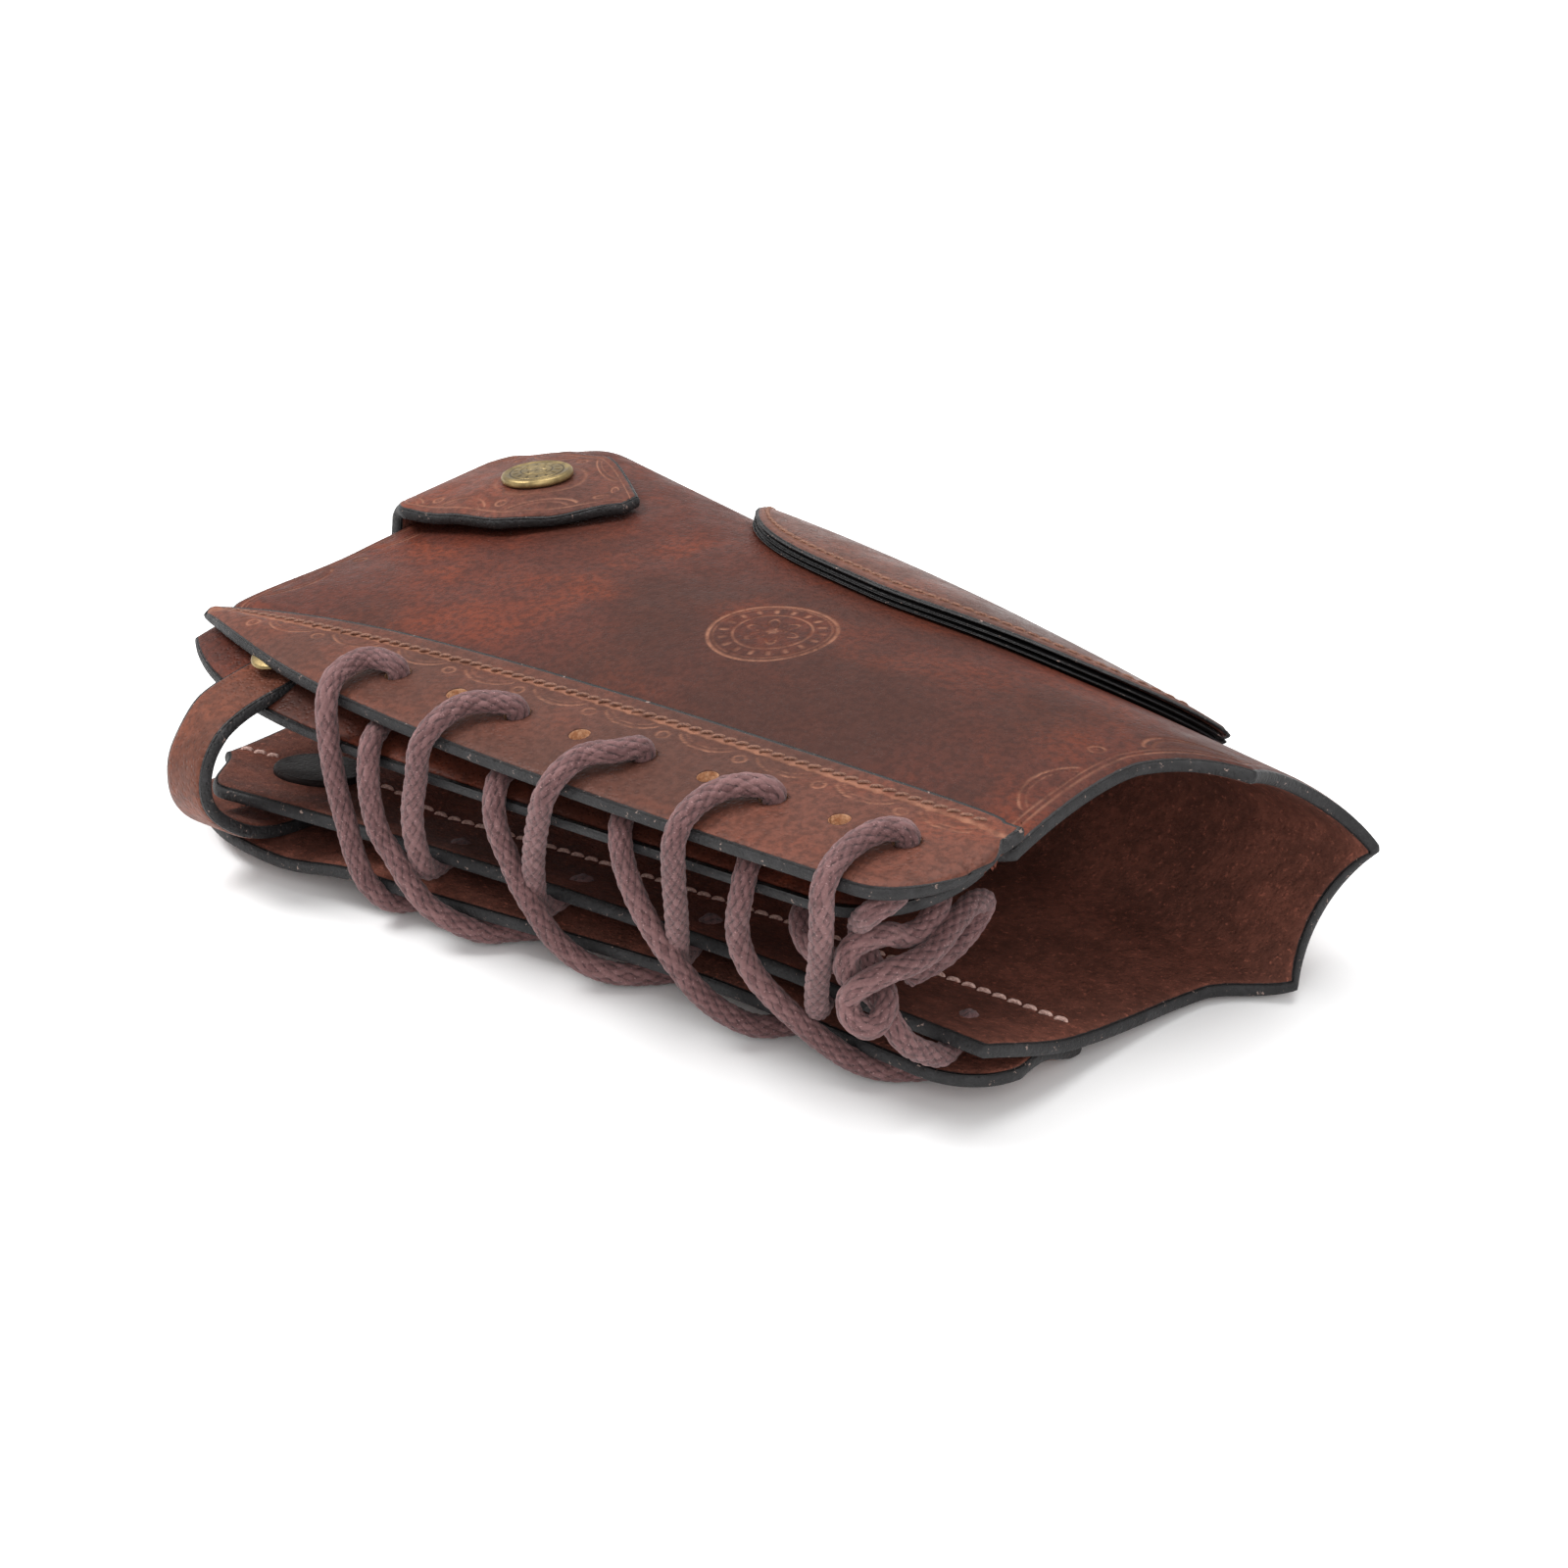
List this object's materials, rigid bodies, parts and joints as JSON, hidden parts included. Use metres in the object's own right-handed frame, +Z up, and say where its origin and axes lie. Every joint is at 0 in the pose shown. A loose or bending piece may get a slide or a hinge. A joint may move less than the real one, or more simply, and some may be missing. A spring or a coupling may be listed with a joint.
{
  "type": "lace-up leather stock sleeve",
  "caption": "Lace-up leather sleeve for the butt of a long gun, with a laced edge, a raised cheek pad, a heel strap with a snap and a toe strap.",
  "frame": {"origin": "point on the flat underside of the heel strap, where the sleeve rests on a table", "axes": "+X from the butt end to the mouth, +Y from the laced edge to the comb fold, +Z up with the sleeve lying on its side"},
  "size_m": [0.226, 0.1694, 0.0548],
  "materials": {
    "brown_leather": "satin, mottled, burnished black edges",
    "dark_leather": "matte, dyed black",
    "stitching": "waxed thread",
    "braided_cord": "braided cotton",
    "antique_brass": "antique"
  },
  "bodies": {
    "sleeve": {"main_panel": "brown_leather", "lacing_strip_upper": "brown_leather", "lacing_strip_lower": "brown_leather", "cheek_pad_cover": "brown_leather", "heel_strap": "brown_leather", "toe_strap": "brown_leather", "cheek_pad_layer_inner": "dark_leather", "cheek_pad_layer_outer": "dark_leather", "toe_backing_disc": "dark_leather", "strip_thread_upper": "stitching", "strip_thread_lower": "stitching", "cheek_pad_thread": "stitching", "heel_strap_thread": "stitching", "heel_snap_stud": "antique_brass", "heel_snap_washer": "antique_brass", "toe_rivet_upper": "antique_brass", "toe_rivet_lower": "antique_brass", "toe_rivet_washer": "antique_brass", "lacing_cord": "braided_cord"},
    "heel_flap": {"heel_flap": "brown_leather", "heel_snap_cap": "antique_brass", "heel_snap_socket": "antique_brass"}
  },
  "joints": [
    {"name": "heel_flap_hinge", "type": "hinge", "parent": "sleeve", "child": "heel_flap", "pos_m": [-0.02685, 0, 0.03795], "axis": [0, -1, 0], "range_deg": [0, 130]}
  ]
}
